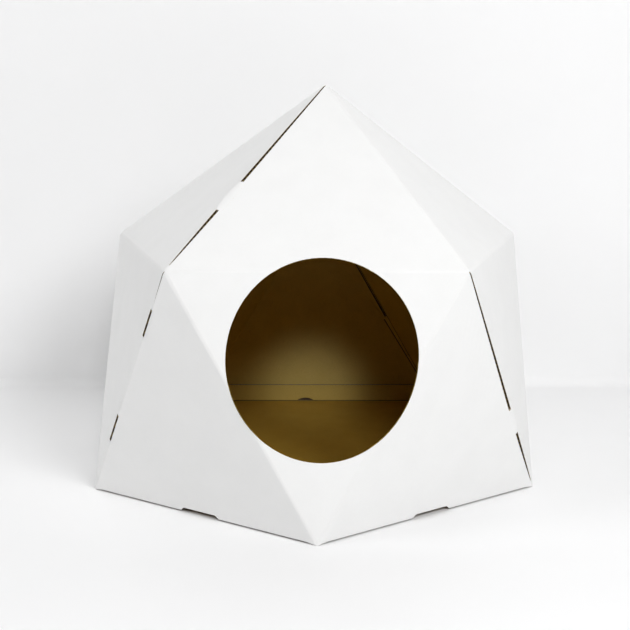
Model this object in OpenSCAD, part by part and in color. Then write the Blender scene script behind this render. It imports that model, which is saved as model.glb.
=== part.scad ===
// Folded board pet house: triangular roof and wall panels round one entry hole, on a loose floor tray.
// Millimetres, +Z up, the entry hole looks towards -Y and the walls stand on z = 0.

/* [Board] */
// Thickness of the corrugated board
board_t = 3; // [2.5:0.5:4]
// Gap kept on each side of a crease or of a closed seam
crease_gap = 0.15; // [0.15:0.05:0.3]
// Free space between a tucked tab and the panel it holds
tuck_clear = 0.3; // [0.3:0.1:0.6]

/* [Base corners] */
// Distance of the front base corner from the middle
front_corner_y = 262; // [246:2:278]
// Half distance between the two side base corners
side_corner_x = 250; // [238:2:264]
// Mean distance of the side base corners in front of the middle
side_corner_y = 95; // [88:1:102]
// How far both side base corners lie to the left
side_corner_shift = 3; // [0:0.5:6]
// How much the left side base corner lies further forward, and the right one further back, than the mean
side_corner_skew = 4.5; // [0:0.5:6]
// Half distance between the two back base corners
back_corner_x = 163; // [154:1:172]
// Distance of the back base corners behind the middle
back_corner_y = 232; // [220:2:244]

/* [Shoulder corners] */
// Half distance between the two front shoulder corners
front_shoulder_x = 155; // [146:1:164]
// Distance of the front shoulder corners in front of the middle
front_shoulder_y = 215; // [205:1:225]
// Height of the front shoulder corners
front_shoulder_z = 278; // [264:2:292]
// Half distance between the two side shoulder corners
side_shoulder_x = 240; // [230:2:250]
// Distance of the side shoulder corners behind the middle
side_shoulder_y = 82; // [74:1:90]
// Height of the side shoulder corners
side_shoulder_z = 262; // [250:2:276]
// How far the rear shoulder corner lies to the right
rear_shoulder_lean = 5; // [-4:1:10]
// Distance of the rear shoulder corner behind the middle
rear_shoulder_y = 277; // [264:1:290]
// Height of the rear shoulder corner
rear_shoulder_z = 273; // [260:1:286]

/* [Peak] */
// Height of the peak
peak_z = 446; // [424:2:468]
// How far the peak leans to the right
peak_lean = 10; // [-10:1:16]
// How far the peak lies behind the middle
peak_back = 6; // [-8:1:16]

/* [Entry hole] */
// Width of the entry hole on the flat sheet
hole_w = 195; // [186:1:204]
// Height of the entry hole on the flat sheet
hole_h = 211; // [202:1:220]
// Distance of the hole's middle below the front shoulder crease
hole_drop = 89; // [84:1:94]
// How far the hole's middle lies to the right of the front panel's middle
hole_shift = 5; // [0:0.5:7]

/* [Seams] */
// Width of an open seam slit
slit_w = 2.4; // [1.6:0.2:3.2]
// Part of a seam at its end corner that stays closed
seam_end_share = 0.03; // [0.02:0.01:0.05]
// Start of the roof seam's tab, as a share of the seam from the peak
roof_tab_start_share = 0.548; // [0.5:0.01:0.6]
// End of the roof seam's tab
roof_tab_end_share = 0.696; // [0.65:0.01:0.76]
// Start of the left seam's upper slot, as a share of the seam from the shoulder
left_upper_start_share = 0.163; // [0.12:0.01:0.18]
// End of the left seam's upper slot
left_upper_end_share = 0.278; // [0.26:0.01:0.34]
// Start of the left seam's lower slot
left_lower_start_share = 0.636; // [0.58:0.01:0.66]
// End of the left seam's lower slot
left_lower_end_share = 0.758; // [0.73:0.01:0.82]
// Start of the right seam's tab, as a share of the seam from the shoulder
right_tab_start_share = 0.616; // [0.56:0.01:0.64]
// End of the right seam's tab
right_tab_end_share = 0.727; // [0.71:0.01:0.8]
// Start of the two rear side seams' tabs, as a share of the seam from the shoulder
rear_tab_start_share = 0.616; // [0.56:0.01:0.64]
// End of the two rear side seams' tabs
rear_tab_end_share = 0.727; // [0.71:0.01:0.8]
// Start of the back seam's long tab, as a share of the seam from the shoulder
back_tab_start_share = 0.12; // [0.08:0.01:0.16]
// End of the back seam's long tab
back_tab_end_share = 0.574; // [0.54:0.01:0.62]

/* [Tabs] */
// How far a tab reaches behind the panel it holds
tab_reach = 18; // [14:1:24]
// Slope of a short tab's ends, run along the seam for each millimetre of reach
tab_end_slope = 0.5; // [0.2:0.1:1]
// Slope of the long back tab's lower end
back_tab_slope = 4.6; // [3:0.2:5]
// Depth of the notch in a panel's edge that lets a tab through
tab_notch = 3.4; // [3:0.2:4.4]
// Depth of a bridging tab's face below the outer face
bridge_drop = 0.4; // [0.2:0.1:0.8]
// Depth of a dipping tab's face below the outer face
dip_drop = 1.6; // [1:0.2:2]

/* [Foot notches] */
// Width of a front wall's foot notch at its top
notch_top_w = 43; // [36:1:50]
// Width of a front wall's foot notch at the floor
notch_foot_w = 54; // [46:1:62]
// Height of a front wall's foot notch
notch_h = 5.6; // [5:0.2:8]

/* [Floor tray] */
// Gap between a wall's inner foot and the tray
tray_gap = 0.6; // [0.4:0.1:1]
// Height of the upturned flaps
flap_h = 22.6; // [18:0.2:28]
// Slope of a flap's ends, run for each millimetre of height
flap_end_slope = 0.85; // [0.8:0.05:1.2]
// Free length at each end of a flap
flap_end_gap = 2.5; // [2:0.5:5]
// Free height between a flap and the floor board
flap_lift = 0.3; // [0.3:0.1:0.6]
// Width of the half-moon cut at the back flap's foot
moon_w = 26; // [20:1:32]
// Height of the half-moon cut at the back flap's foot
moon_h = 4.6; // [3:0.2:6]
// Place of the half-moon along the back flap, from the right corner
back_moon_share = 0.548; // [0.45:0.01:0.6]

/* [Hidden] */
// Every sub-part of the house
// Facets of every round cut
$fn = 96;
// Room that a cutting block has past the board
cut_room = 60;
// Middle of a foot edge
middle_share = 0.5;
// How far a slit's cutter runs out past the corner where the seam starts
run_out_share = 0.1;
// Where the front panel's corners part, as a share of the hole's height below its middle
split_share = 0.25;
// Paper white and plain board brown
white = [0.95, 0.95, 0.94];
kraft = [0.62, 0.47, 0.29];

// The eleven corners of the house
fb = [0, -front_corner_y, 0];
rb = [side_corner_x - side_corner_shift, -side_corner_y + side_corner_skew, 0];
lb = [-side_corner_x - side_corner_shift, -side_corner_y - side_corner_skew, 0];
br = [back_corner_x, back_corner_y, 0];
bl = [-back_corner_x, back_corner_y, 0];
sfr = [front_shoulder_x, -front_shoulder_y, front_shoulder_z];
sfl = [-front_shoulder_x, -front_shoulder_y, front_shoulder_z];
sr = [side_shoulder_x, side_shoulder_y, side_shoulder_z];
sl = [-side_shoulder_x, side_shoulder_y, side_shoulder_z];
sb = [rear_shoulder_lean, rear_shoulder_y, rear_shoulder_z];
peak = [peak_lean, peak_back, peak_z];

// Vector helpers
function unit(v) = v / norm(v);
function facing(p) = unit(cross(p[1] - p[0], p[2] - p[0]));
function along(p) = unit(p[1] - p[0]);
function inward(p) = cross(facing(p), along(p));
function flat(p, q) = [(q - p[0]) * along(p), (q - p[0]) * inward(p)];
function outline(p) = [for (q = p) flat(p, q)];

// Half of the fold between two panels, from their facing directions
function half_fold(p, q) = acos(facing(p) * facing(q)) / 2;

// Panels, corners counter-clockwise as seen from outside
p_roof_front = [sfl, sfr, peak];
p_roof_right = [sfr, sr, peak];
p_roof_back_right = [sr, sb, peak];
p_roof_back_left = [sb, sl, peak];
p_roof_left = [sl, sfl, peak];
p_front = [sfr, sfl, fb];
p_down_right = [sr, sfr, rb];
p_down_back_right = [sb, sr, br];
p_down_back_left = [sl, sb, bl];
p_down_left = [sfl, sl, lb];
p_wall_front_left = [lb, fb, sfl];
p_wall_front_right = [fb, rb, sfr];
p_wall_right = [rb, br, sr];
p_wall_back = [br, bl, sb];
p_wall_left = [bl, lb, sl];

// Places a flat panel on its three corners, outer face outwards
module on_panel(p) {
    e = along(p);
    i = inward(p);
    n = facing(p);
    o = p[0];
    multmatrix([
        [e[0], i[0], n[0], o[0]],
        [e[1], i[1], n[1], o[1]],
        [e[2], i[2], n[2], o[2]],
        [0, 0, 0, 1]
    ]) children();
}

// Turns a block so that it runs from corner a towards corner b, panel on its left
module on_edge(a, b) {
    translate([a[0], a[1], 0]) rotate([0, 0, atan2(b[1] - a[1], b[0] - a[0])]) children();
}

// Removes what lies past an edge, from one share of it to another, on the plane that halves the fold
module edge_cut(a, b, half, inset, from_share, to_share, end_room) {
    len = norm(b - a);
    on_edge(a, b)
        translate([from_share * len - end_room, inset, 0])
            rotate([half, 0, 0])
                translate([0, -cut_room, -cut_room])
                    cube([(to_share - from_share) * len + 2 * end_room, cut_room, 2 * cut_room]);
}

// A whole mitred edge
module mitre(a, b, half) {
    edge_cut(a, b, half, crease_gap, 0, 1, cut_room);
}

// A slit or notch in an edge
module edge_slot(a, b, half, inset, shares) {
    edge_cut(a, b, half, inset, shares[0], shares[1], 0);
}

// A triangular board, each edge mitred to its neighbour; q lists the neighbours, the panel itself where none
module board(p, q) {
    t = outline(p);
    difference() {
        translate([0, 0, -board_t]) linear_extrude(height = board_t) polygon(t);
        for (k = [0, 1, 2])
            if (q[k] != p) mitre(t[k], t[(k + 1) % 3], half_fold(p, q[k]));
    }
}

// Start and end of each tab or slot along its seam
roof_tab_shares = [roof_tab_start_share, roof_tab_end_share];
left_upper_shares = [left_upper_start_share, left_upper_end_share];
left_lower_shares = [left_lower_start_share, left_lower_end_share];
right_tab_shares = [right_tab_start_share, right_tab_end_share];
rear_tab_shares = [rear_tab_start_share, rear_tab_end_share];
back_tab_shares = [back_tab_start_share, back_tab_end_share];

// Slopes of a tab's two ends
short_slopes = [tab_end_slope, tab_end_slope];
long_slopes = [tab_end_slope, back_tab_slope];

// Shares counted from the other end of an edge
function turned(s) = [1 - s[1], 1 - s[0]];

// Slits on both sides of a tab, and the whole run of both
function first_slit(s) = [-run_out_share, s[0]];
function last_slit(s) = [s[1], 1 - seam_end_share];
function whole_slit() = [-run_out_share, 1 - seam_end_share];

// Cuts a seam from edge corner a to b: the panel that takes the tab in has a deeper notch for it
module seam_slits(a, b, half, runs, notch_shares) {
    for (r = runs) edge_slot(a, b, half, slit_w / 2, r);
    for (n = notch_shares) edge_slot(a, b, half, tab_notch, n);
}

// The seam on edge k of the panel that gives the tab; back where the edge runs towards the seam's start
module giving_seam(p, k, other, shares, back) {
    t = outline(p);
    runs = [first_slit(shares), last_slit(shares)];
    seam_slits(t[k], t[(k + 1) % 3], half_fold(p, other), back ? [for (r = runs) turned(r)] : runs, []);
}

// The seam on edge k of the panel that takes the tab in
module taking_seam(p, k, other, shares, back) {
    t = outline(p);
    run = whole_slit();
    notch = back ? turned(shares) : shares;
    seam_slits(t[k], t[(k + 1) % 3], half_fold(p, other), [back ? turned(run) : run], [notch]);
}

// A tab of the neighbour: its neck fills the notch in this panel's edge, its tongue lies behind the panel
module tuck_tab(p, k, other, shares, slopes, drop) {
    t = outline(p);
    a = t[k];
    b = t[(k + 1) % 3];
    half = half_fold(p, other);
    len = norm(b - a);
    x0 = shares[0] * len + tuck_clear;
    x1 = shares[1] * len - tuck_clear;
    wide = x1 - x0;
    low = 2 * board_t + tuck_clear;
    neck_y = -crease_gap * cos(half);
    neck_w = (tab_notch - tuck_clear) * cos(half) - neck_y;
    root_y = (board_t + tuck_clear) * tan(half) + tab_notch - tuck_clear - board_t;
    tip_y = root_y + tab_reach;
    tip_x0 = x0 + slopes[0] * tab_reach;
    tip_x1 = x1 - slopes[1] * tab_reach;
    on_panel(p) on_edge(a, b) {
        intersection() {
            translate([x0, 0, 0]) rotate([half, 0, 0])
                translate([0, neck_y, -cut_room]) cube([wide, neck_w, cut_room]);
            translate([x0, -cut_room, -low]) cube([wide, 2 * cut_room, low - drop]);
        }
        translate([0, 0, -low]) linear_extrude(height = board_t)
            polygon([[x0, root_y], [x1, root_y], [tip_x1, tip_y], [tip_x0, tip_y]]);
    }
}

// The hole's outline, unfolded from the front panel onto panel p across the crease from a to b
hole_turns = [for (k = [0 : $fn - 1]) 360 * k / $fn];
hole_mid = [norm(sfl - sfr) / 2 - hole_shift, hole_drop];
hole_flat = [for (w = hole_turns) hole_mid + [hole_w / 2 * cos(w), hole_h / 2 * sin(w)]];
function hole_on(p, a, b) =
    let (e = unit(b - a), m = cross(facing(p_front), e), g = cross(facing(p), -e))
    [for (h = hole_flat)
        let (q = sfr + along(p_front) * h[0] + inward(p_front) * h[1] - a)
        flat(p, a + e * (q * e) - g * (q * m))];

// The entry hole as a cutter in panel p's own frame
module hole_cut(points) {
    translate([0, 0, -cut_room]) linear_extrude(height = 2 * cut_room) polygon(points);
}

// Trims a wall's two foot corners clear of the walls beside it: before its first corner and after its second
module corner_trim(p, before, after) {
    t = outline(p);
    edge_cut(t[0] + [0, cut_room], t[0], half_fold(p, before), 2 * crease_gap, 0, 1, cut_room);
    edge_cut(t[1], t[1] + [0, cut_room], half_fold(p, after), 2 * crease_gap, 0, 1, cut_room);
}

// A front wall's foot notch
module foot_notch(p) {
    mid = norm(p[1] - p[0]) * middle_share;
    top = notch_top_w / 2;
    foot = notch_foot_w / 2;
    below = [[-foot, -notch_h], [foot, -notch_h]];
    translate([mid, 0, -cut_room]) linear_extrude(height = 2 * cut_room)
        polygon(concat(below, [[foot, 0], [top, notch_h], [-top, notch_h], [-foot, 0]]));
}

// Roof panels
module roof_front() {
    color(white) on_panel(p_roof_front) difference() {
        board(p_roof_front, [p_front, p_roof_right, p_roof_left]);
        giving_seam(p_roof_front, 2, p_roof_left, roof_tab_shares, false);
        hole_cut(hole_on(p_roof_front, sfr, sfl));
    }
}
module roof_right() {
    color(white) on_panel(p_roof_right)
        board(p_roof_right, [p_down_right, p_roof_back_right, p_roof_front]);
}
module roof_back_right() {
    color(white) on_panel(p_roof_back_right)
        board(p_roof_back_right, [p_down_back_right, p_roof_back_left, p_roof_right]);
}
module roof_back_left() {
    color(white) on_panel(p_roof_back_left)
        board(p_roof_back_left, [p_down_back_left, p_roof_left, p_roof_back_right]);
}
module roof_left() {
    color(white) on_panel(p_roof_left) difference() {
        board(p_roof_left, [p_down_left, p_roof_front, p_roof_back_left]);
        taking_seam(p_roof_left, 1, p_roof_front, roof_tab_shares, true);
    }
}

// The front panel is one plane that the entry hole leaves as three corners
module front_plate() {
    difference() {
        board(p_front, [p_roof_front, p_wall_front_left, p_wall_front_right]);
        hole_cut(hole_flat);
    }
}

// Keeps one corner: split where the hole runs past the two side creases
front_foot = flat(p_front, fb);
split_y = hole_drop + hole_h * split_share;
module front_piece(x, y, wide, tall) {
    color(white) on_panel(p_front) intersection() {
        front_plate();
        translate([x, y, -cut_room]) cube([wide, tall, 2 * cut_room]);
    }
}
module front_corner_right() {
    front_piece(-cut_room, -cut_room, hole_mid[0] + cut_room, split_y + cut_room);
}
module front_corner_left() {
    front_piece(hole_mid[0], -cut_room, 2 * front_shoulder_x, split_y + cut_room);
}
module front_corner_foot() {
    front_piece(-cut_room, split_y, 2 * front_shoulder_x + cut_room, front_foot[1]);
}

// Panels that point down
module down_right() {
    color(white) on_panel(p_down_right) difference() {
        board(p_down_right, [p_roof_right, p_wall_front_right, p_wall_right]);
        taking_seam(p_down_right, 1, p_wall_front_right, right_tab_shares, false);
    }
}
module down_back_right() {
    color(white) on_panel(p_down_back_right) difference() {
        board(p_down_back_right, [p_roof_back_right, p_wall_right, p_wall_back]);
        taking_seam(p_down_back_right, 1, p_wall_right, rear_tab_shares, false);
        giving_seam(p_down_back_right, 2, p_wall_back, back_tab_shares, true);
    }
}
module down_back_left() {
    color(white) on_panel(p_down_back_left) difference() {
        board(p_down_back_left, [p_roof_back_left, p_wall_back, p_wall_left]);
        taking_seam(p_down_back_left, 2, p_wall_left, rear_tab_shares, true);
    }
}
module down_left() {
    t = outline(p_down_left);
    half = half_fold(p_down_left, p_wall_front_left);
    color(white) on_panel(p_down_left) difference() {
        board(p_down_left, [p_roof_left, p_wall_left, p_wall_front_left]);
        edge_slot(t[2], t[0], half, tab_notch, turned(left_upper_shares));
        edge_slot(t[2], t[0], half, tab_notch, turned(left_lower_shares));
    }
}

// Panels that stand on the floor
module wall_front_left() {
    color(white) on_panel(p_wall_front_left) difference() {
        board(p_wall_front_left, [p_wall_front_left, p_front, p_down_left]);
        foot_notch(p_wall_front_left);
        corner_trim(p_wall_front_left, p_wall_left, p_wall_front_right);
        hole_cut(hole_on(p_wall_front_left, sfl, fb));
    }
}
module wall_front_right() {
    color(white) on_panel(p_wall_front_right) difference() {
        board(p_wall_front_right, [p_wall_front_right, p_down_right, p_front]);
        foot_notch(p_wall_front_right);
        corner_trim(p_wall_front_right, p_wall_front_left, p_wall_right);
        giving_seam(p_wall_front_right, 1, p_down_right, right_tab_shares, true);
        hole_cut(hole_on(p_wall_front_right, fb, sfr));
    }
}
module wall_right() {
    color(white) on_panel(p_wall_right) difference() {
        board(p_wall_right, [p_wall_right, p_down_back_right, p_down_right]);
        corner_trim(p_wall_right, p_wall_front_right, p_wall_back);
        giving_seam(p_wall_right, 1, p_down_back_right, rear_tab_shares, true);
    }
}
module wall_back() {
    color(white) on_panel(p_wall_back) difference() {
        board(p_wall_back, [p_wall_back, p_down_back_left, p_down_back_right]);
        corner_trim(p_wall_back, p_wall_right, p_wall_left);
        taking_seam(p_wall_back, 2, p_down_back_right, back_tab_shares, false);
    }
}
module wall_left() {
    color(white) on_panel(p_wall_left) difference() {
        board(p_wall_left, [p_wall_left, p_down_left, p_down_back_left]);
        corner_trim(p_wall_left, p_wall_back, p_wall_front_left);
        giving_seam(p_wall_left, 2, p_down_back_left, rear_tab_shares, false);
    }
}

// Tabs, each drawn on the panel that takes it in
module tab_roof() {
    color(kraft)
        tuck_tab(p_roof_left, 1, p_roof_front, turned(roof_tab_shares), short_slopes, bridge_drop);
}
module tab_left_upper() {
    color(kraft)
        tuck_tab(p_down_left, 2, p_wall_front_left, turned(left_upper_shares), short_slopes, dip_drop);
}
module tab_left_lower() {
    color(kraft)
        tuck_tab(p_down_left, 2, p_wall_front_left, turned(left_lower_shares), short_slopes, dip_drop);
}
module tab_right() {
    color(kraft)
        tuck_tab(p_down_right, 1, p_wall_front_right, right_tab_shares, short_slopes, bridge_drop);
}
module tab_rear_right() {
    color(kraft)
        tuck_tab(p_down_back_right, 1, p_wall_right, rear_tab_shares, short_slopes, bridge_drop);
}
module tab_back() {
    color(kraft)
        tuck_tab(p_wall_back, 2, p_down_back_right, back_tab_shares, long_slopes, bridge_drop);
}
module tab_rear_left() {
    color(kraft)
        tuck_tab(p_down_back_left, 2, p_wall_left, turned(rear_tab_shares), short_slopes, bridge_drop);
}

// The loose floor tray: base corners in order, and the same ring drawn in by a distance
base_ring = [fb, rb, br, bl, lb];
corners = len(base_ring);
tray_inset = board_t + tray_gap;
function base_in(k) =
    let (d = unit(base_ring[(k + 1) % corners] - base_ring[k % corners])) [-d[1], d[0], 0];
function drawn_in(k, d) =
    let (m = base_in(k + corners - 1), n = base_in(k))
    base_ring[k % corners] + (m + n) * d / (1 + m * n);

// A half-moon on a straight foot, drawn as part of a circle
module moon(wide, tall) {
    r = (wide * wide / 4 + tall * tall) / (2 * tall);
    intersection() {
        translate([0, tall - r]) circle(r);
        translate([-wide, 0]) square([2 * wide, 2 * tall]);
    }
}

// Stands a child on base edge k: x along the edge, y inwards, z up
module on_base(k) {
    a = base_ring[k];
    b = base_ring[(k + 1) % corners];
    on_edge([a[0], a[1]], [b[0], b[1]]) children();
}
function base_len(k) = norm(base_ring[(k + 1) % corners] - base_ring[k]);

// Floor board
module floor_panel() {
    ring = [for (k = [0 : corners - 1]) let (q = drawn_in(k, tray_inset)) [q[0], q[1]]];
    color(kraft) linear_extrude(height = board_t) polygon(ring);
}

// One upturned flap on base edge k, with the half-moon at a share of its edge where it has one
module flap(k, moon_share) {
    a = base_ring[k];
    e = unit(base_ring[(k + 1) % corners] - a);
    x0 = (drawn_in(k, tray_inset + board_t) - a) * e + flap_end_gap;
    x1 = (drawn_in(k + 1, tray_inset + board_t) - a) * e - flap_end_gap;
    run = flap_end_slope * flap_h;
    tall = board_t + flap_lift;
    color(kraft) on_base(k) translate([0, tray_inset + board_t, tall]) rotate([90, 0, 0])
        linear_extrude(height = board_t) difference() {
            polygon([[x0, 0], [x1, 0], [x1 - run, flap_h], [x0 + run, flap_h]]);
            if (moon_share > 0) translate([base_len(k) * moon_share, 0]) moon(moon_w, moon_h);
        }
}
module flap_front_right() {
    flap(0, 0);
}
module flap_right() {
    flap(1, 0);
}
module flap_back() {
    flap(2, back_moon_share);
}
module flap_left() {
    flap(3, 0);
}
module flap_front_left() {
    flap(4, 0);
}

// Draw every sub-part, or the one named by node
roof_front();
roof_right();
roof_back_right();
roof_back_left();
roof_left();
front_corner_left();
front_corner_right();
front_corner_foot();
down_right();
down_back_right();
down_back_left();
down_left();
wall_front_left();
wall_front_right();
wall_right();
wall_back();
wall_left();
tab_roof();
tab_left_upper();
tab_left_lower();
tab_right();
tab_rear_right();
tab_back();
tab_rear_left();
floor_panel();
flap_front_left();
flap_front_right();
flap_right();
flap_back();
flap_left();
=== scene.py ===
"""Folded board pet house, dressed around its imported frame.

Every panel is built as real single-wall board: a white outer liner rolled over its folds, a fluted
core and a plain brown inner liner, so that each cut edge shows the layers.
"""

import logging
import math
from dataclasses import dataclass, field
from enum import Enum
from typing import Iterable, Sequence

import bmesh
import bpy
from mathutils import Matrix, Vector


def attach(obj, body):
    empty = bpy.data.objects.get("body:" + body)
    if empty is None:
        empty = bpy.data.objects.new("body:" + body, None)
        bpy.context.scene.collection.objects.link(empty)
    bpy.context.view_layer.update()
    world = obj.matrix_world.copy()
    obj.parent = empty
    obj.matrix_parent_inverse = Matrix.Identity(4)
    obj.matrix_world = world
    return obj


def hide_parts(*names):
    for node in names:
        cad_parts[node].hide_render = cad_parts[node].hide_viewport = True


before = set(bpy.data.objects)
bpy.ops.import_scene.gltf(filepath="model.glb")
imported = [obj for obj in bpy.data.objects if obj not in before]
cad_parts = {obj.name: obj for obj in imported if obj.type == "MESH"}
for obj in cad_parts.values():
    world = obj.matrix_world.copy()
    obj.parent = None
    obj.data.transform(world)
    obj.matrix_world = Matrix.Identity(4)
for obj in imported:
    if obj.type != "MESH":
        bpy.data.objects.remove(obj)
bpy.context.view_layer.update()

LOG = logging.getLogger("pet_house")
MM = 0.001

Mesh = bpy.types.Mesh
Obj = bpy.types.Object
Tree = bpy.types.NodeTree


class Ply(Enum):
    """Material slots of a board, in the order they are given to every piece."""

    WHITE = 0
    KRAFT = 1
    # Flute paper painted near black as shade, on the flutes and on every face meant to read as a dark slit, groove or
    # recess
    FLUTE_SHADE = 2
    EDGE = 3
    # The floor's kraft, a darker and more saturated copy painted as the floor's bounce-lit shade
    FLOOR = 4


CORNERS: dict[str, Vector] = {
    name: Vector(place) * MM
    for name, place in {
        "fb": (0, -262, 0),
        "rb": (247, -90.5, 0),
        "lb": (-253, -99.5, 0),
        "br": (163, 232, 0),
        "bl": (-163, 232, 0),
        "sfr": (155, -215, 278),
        "sfl": (-155, -215, 278),
        "sr": (240, 82, 262),
        "sl": (-240, 82, 262),
        "sb": (5, 277, 273),
        "peak": (10, 6, 448),
    }.items()
}


@dataclass(frozen=True)
class Panel:
    """One flat panel of the shell, its corners counter-clockwise from outside."""

    name: str
    corners: tuple[str, str, str]
    body: str
    nodes: tuple[str, ...] = ()

    def points(self) -> list[Vector]:
        """Its three corner points."""
        return [CORNERS[c] for c in self.corners]

    def facing(self) -> Vector:
        """Unit normal of its outer face."""
        a, b, c = self.points()
        return (b - a).cross(c - a).normalized()

    def into(self, start: Vector, end: Vector) -> Vector:
        """Unit direction in the panel's plane from an edge towards its middle.

        Args:
            start: One end of the edge.
            end: The other end.

        Returns:
            The direction.
        """
        along = (end - start).normalized()
        side = self.facing().cross(along)
        middle = sum(self.points(), Vector()) / 3
        return side if side.dot(middle - start) > 0 else -side

    def edges(self) -> list[tuple[str, str]]:
        """Its three edges as pairs of corner names."""
        return [(self.corners[k], self.corners[(k + 1) % 3]) for k in range(3)]


PANELS: dict[str, Panel] = {
    p.name: p
    for p in (
        Panel("roof_front", ("sfl", "sfr", "peak"), "roof"),
        Panel("roof_right", ("sfr", "sr", "peak"), "roof"),
        Panel("roof_back_right", ("sr", "sb", "peak"), "roof"),
        Panel("roof_back_left", ("sb", "sl", "peak"), "roof"),
        Panel("roof_left", ("sl", "sfl", "peak"), "roof"),
        Panel("front", ("sfr", "sfl", "fb"), "front",
              ("front_corner_left", "front_corner_right", "front_corner_foot")),
        Panel("down_right", ("sr", "sfr", "rb"), "down_right"),
        Panel("down_back_right", ("sb", "sr", "br"), "down_back_right"),
        Panel("down_back_left", ("sl", "sb", "bl"), "down_back_left"),
        Panel("down_left", ("sfl", "sl", "lb"), "down_left"),
        Panel("wall_front_left", ("lb", "fb", "sfl"), "wall_front_left"),
        Panel("wall_front_right", ("fb", "rb", "sfr"), "wall_front_right"),
        Panel("wall_right", ("rb", "br", "sr"), "wall_right"),
        Panel("wall_back", ("br", "bl", "sb"), "wall_back"),
        Panel("wall_left", ("bl", "lb", "sl"), "wall_left"),
    )
}

# Each panel of the flat sheet hangs on another one by a fold
HANGS_ON: dict[str, str] = {
    "front": "roof_front",
    "roof_right": "roof_front",
    "roof_back_right": "roof_right",
    "roof_back_left": "roof_back_right",
    "roof_left": "roof_back_left",
    "wall_front_left": "front",
    "wall_front_right": "front",
    "down_right": "roof_right",
    "wall_right": "down_right",
    "down_back_right": "roof_back_right",
    "down_back_left": "roof_back_left",
    "wall_back": "down_back_left",
    "down_left": "roof_left",
    "wall_left": "down_left",
}


@dataclass(frozen=True)
class Seam:
    """A cut edge of the sheet that a tab of one panel closes behind another."""

    name: str
    start: str
    end: str
    gives: str
    takes: str
    tabs: tuple[tuple[str, float, float], ...]
    open_slit: bool = True
    gape: float = 1.3 * MM
    dip: float = -0.02 * MM
    tail: float = 0.5
    bulge: float = 3.4 * MM
    shut: bool = False

    def run(self) -> Vector:
        """The seam from its start to its end."""
        return CORNERS[self.end] - CORNERS[self.start]


SEAMS: tuple[Seam, ...] = (
    Seam("roof", "peak", "sfl", "roof_front", "roof_left", (("tab_roof", 0.548, 0.696),)),
    Seam("left", "sfl", "lb", "wall_front_left", "down_left",
         (("tab_left_upper", 0.163, 0.278), ("tab_left_lower", 0.636, 0.758)), open_slit=False, dip=3.0 * MM, bulge=0.0),
    Seam("right", "sfr", "rb", "wall_front_right", "down_right", (("tab_right", 0.616, 0.727),)),
    Seam("rear_right", "sr", "br", "wall_right", "down_back_right", (("tab_rear_right", 0.616, 0.727),)),
    Seam("back", "sb", "br", "down_back_right", "wall_back", (("tab_back", 0.12, 0.574),), tail=6.0, bulge=0.0,
         shut=True),
    Seam("rear_left", "sl", "bl", "wall_left", "down_back_left", (("tab_rear_left", 0.616, 0.727),)),
)


def neighbour(panel: Panel, edge: tuple[str, str]) -> Panel | None:
    """Finds the panel across an edge.

    Args:
        panel: The panel itself.
        edge: Two of its corners.

    Returns:
        The other panel with both corners, or None at the foot.
    """
    for other in PANELS.values():
        if other.name != panel.name and set(edge) <= set(other.corners):
            return other
    return None


def half_fold(panel: Panel, other: Panel | None) -> float:
    """Half of the angle between two panels' facings, zero at a free edge."""
    if other is None:
        return 0.0
    return panel.facing().angle(other.facing()) / 2


def unfold(onto: Panel, source: Panel) -> Matrix:
    """Turns one panel's plane onto another's about their shared fold.

    Args:
        onto: Panel whose plane is reached.
        source: Panel that is turned.

    Returns:
        The turn as a matrix in the row frame.
    """
    shared = [c for c in source.corners if c in onto.corners]
    hinge = Matrix.Translation(CORNERS[shared[0]])
    turn = source.facing().rotation_difference(onto.facing()).to_matrix().to_4x4()
    return hinge @ turn @ hinge.inverted()


def flute_direction(panel: Panel) -> Vector:
    """Direction of the flutes on a panel, carried over the folds from the front of the roof."""
    chain = [panel.name]
    while chain[-1] in HANGS_ON:
        chain.append(HANGS_ON[chain[-1]])
    a, b, peak = PANELS["roof_front"].points()
    direction = (peak - (a + b) / 2).normalized()
    for parent, child in zip(reversed(chain), list(reversed(chain))[1:]):
        direction = unfold(PANELS[child], PANELS[parent]).to_3x3() @ direction
    return direction


# Mesh helpers


def to_mesh(bm: bmesh.types.BMesh, name: str) -> Mesh:
    """Closes a bmesh into a mesh with outward normals.

    Args:
        bm: The bmesh, which is freed.
        name: Name of the mesh.

    Returns:
        The new mesh.
    """
    bmesh.ops.recalc_face_normals(bm, faces=bm.faces[:])
    mesh = bpy.data.meshes.new(name)
    bm.to_mesh(mesh)
    bm.free()
    give_plies(mesh)
    return mesh


def give_plies(mesh: Mesh) -> None:
    """Gives a mesh one material slot for each ply."""
    for ply in Ply:
        mesh.materials.append(bpy.data.materials[PLY_FINISH[ply].name])


def paint(bm: bmesh.types.BMesh, ply: Ply) -> None:
    """Gives every face of a bmesh one ply."""
    for face in bm.faces:
        face.material_index = ply.value


def repaint(mesh: Mesh, old: Ply, new: Ply) -> Mesh:
    """Gives every face of one ply another one."""
    for face in mesh.polygons:
        if face.material_index == old.value:
            face.material_index = new.value
    return mesh


def prism(outline: Sequence[Vector], depth: Vector) -> bmesh.types.BMesh:
    """A closed block with any flat outline.

    Args:
        outline: Points of the first face.
        depth: How far and where the outline is extruded.

    Returns:
        The block.
    """
    bm = bmesh.new()
    face = bm.faces.new([bm.verts.new(p) for p in outline])
    out = bmesh.ops.extrude_face_region(bm, geom=[face], use_keep_orig=True)
    moved = [v for v in out["geom"] if isinstance(v, bmesh.types.BMVert)]
    bmesh.ops.translate(bm, verts=moved, vec=depth)
    bmesh.ops.recalc_face_normals(bm, faces=bm.faces[:])
    return bm


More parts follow.
